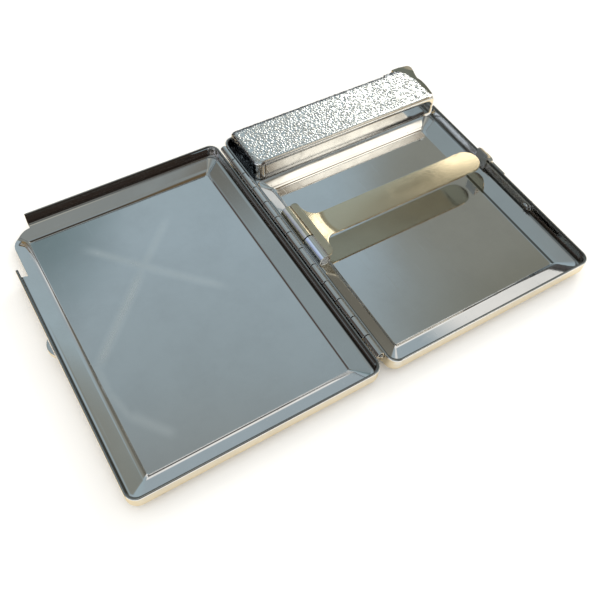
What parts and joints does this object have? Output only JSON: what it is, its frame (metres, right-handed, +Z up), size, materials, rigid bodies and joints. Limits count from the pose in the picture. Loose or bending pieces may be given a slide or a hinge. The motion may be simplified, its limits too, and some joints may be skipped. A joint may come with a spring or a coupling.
{
  "type": "cigarette case with built-in lighter",
  "caption": "Hinged pressed-metal cigarette case lying open, with a sprung retainer arm, a push-button clasp and a petrol lighter in an embossed sleeve along one end.",
  "frame": {"origin": "middle of the underside of the base's flat panel, on the table the open case lies on", "axes": "+X across the open case from the lid to the base, +Y along the hinge towards the lighter, +Z up from the table"},
  "size_m": [0.1634, 0.1046, 0.0114],
  "materials": {
    "chrome": "polished chromium plate with fine scratches and smudges",
    "satin_gilt": "satin, warm tone",
    "embossed_chrome": "fine pebbled embossing, plated",
    "spring_steel": "drawn steel",
    "brass": "dull brass",
    "cotton": "cotton",
    "flint": "sintered grey",
    "tool_steel": "cut and hardened"
  },
  "bodies": {
    "base": {"base_shell": "chrome", "base_hinge_leaf": "chrome", "hinge_pin": "spring_steel", "retainer_bracket": "satin_gilt", "retainer_pin": "spring_steel", "retainer_spring": "spring_steel", "clasp_rivet": "chrome", "clasp_plate": "chrome", "lighter_sleeve": "embossed_chrome", "sleeve_rivet_1": "chrome", "sleeve_rivet_2": "chrome", "lighter_frame": "brass", "fuel_tank": "brass", "wadding_front": "cotton", "wadding_back": "cotton", "wick_tube": "brass", "wick": "cotton", "flint_tube": "brass", "flint_spring": "spring_steel", "flint": "flint", "lever_pin": "spring_steel", "lever_spring": "spring_steel"},
    "lid": {"lid_shell": "chrome", "lid_hinge_leaf": "chrome", "lid_catch": "chrome"},
    "retainer": {"retainer_arm": "satin_gilt"},
    "clasp": {"clasp_spring": "spring_steel", "clasp_button": "chrome", "clasp_hook": "spring_steel"},
    "lever": {"snuffer_lever": "chrome"},
    "wheel": {"striker_wheel": "tool_steel"},
    "filler": {"filler_screw": "brass"},
    "flint_plug": {"flint_screw": "brass"}
  },
  "joints": [
    {"name": "lid_hinge", "type": "hinge", "parent": "base", "child": "lid", "pos_m": [-0.04045, 0, 0.00765], "axis": [0, 1, 0], "range_deg": [0, 180]},
    {"name": "arm_hinge", "type": "hinge", "parent": "base", "child": "retainer", "pos_m": [-0.03575, 0.00104, 0.0072], "axis": [0, 1, 0], "range_deg": [-100, 4], "stiffness_Nm_per_rad": 0.02},
    {"name": "clasp_push", "type": "hinge", "parent": "base", "child": "clasp", "pos_m": [0.03775, -0.02296, 0.0056], "axis": [0, 0, 1], "range_deg": [0, 2.8], "stiffness_Nm_per_rad": 1.2},
    {"name": "lever_pivot", "type": "hinge", "parent": "base", "child": "lever", "pos_m": [0.03205, 0.0415, 0.0076], "axis": [0, 0, 1], "range_deg": [0, 20], "stiffness_Nm_per_rad": 0.08},
    {"name": "wheel_pivot", "type": "hinge", "parent": "base", "child": "wheel", "pos_m": [0.03205, 0.0415, 0.0076], "axis": [0, 0, 1], "range_deg": [-1, 22]},
    {"name": "filler_turn", "type": "hinge", "parent": "base", "child": "filler", "pos_m": [-0.02845, 0.0464, 0.0076], "axis": [1, 0, 0], "continuous": true},
    {"name": "flint_screw_turn", "type": "hinge", "parent": "base", "child": "flint_plug", "pos_m": [-0.02845, 0.0415, 0.0076], "axis": [1, 0, 0], "continuous": true}
  ],
  "couplings": [
    {"joint": "wheel_pivot", "follows": "lever_pivot", "ratio": 1}
  ]
}
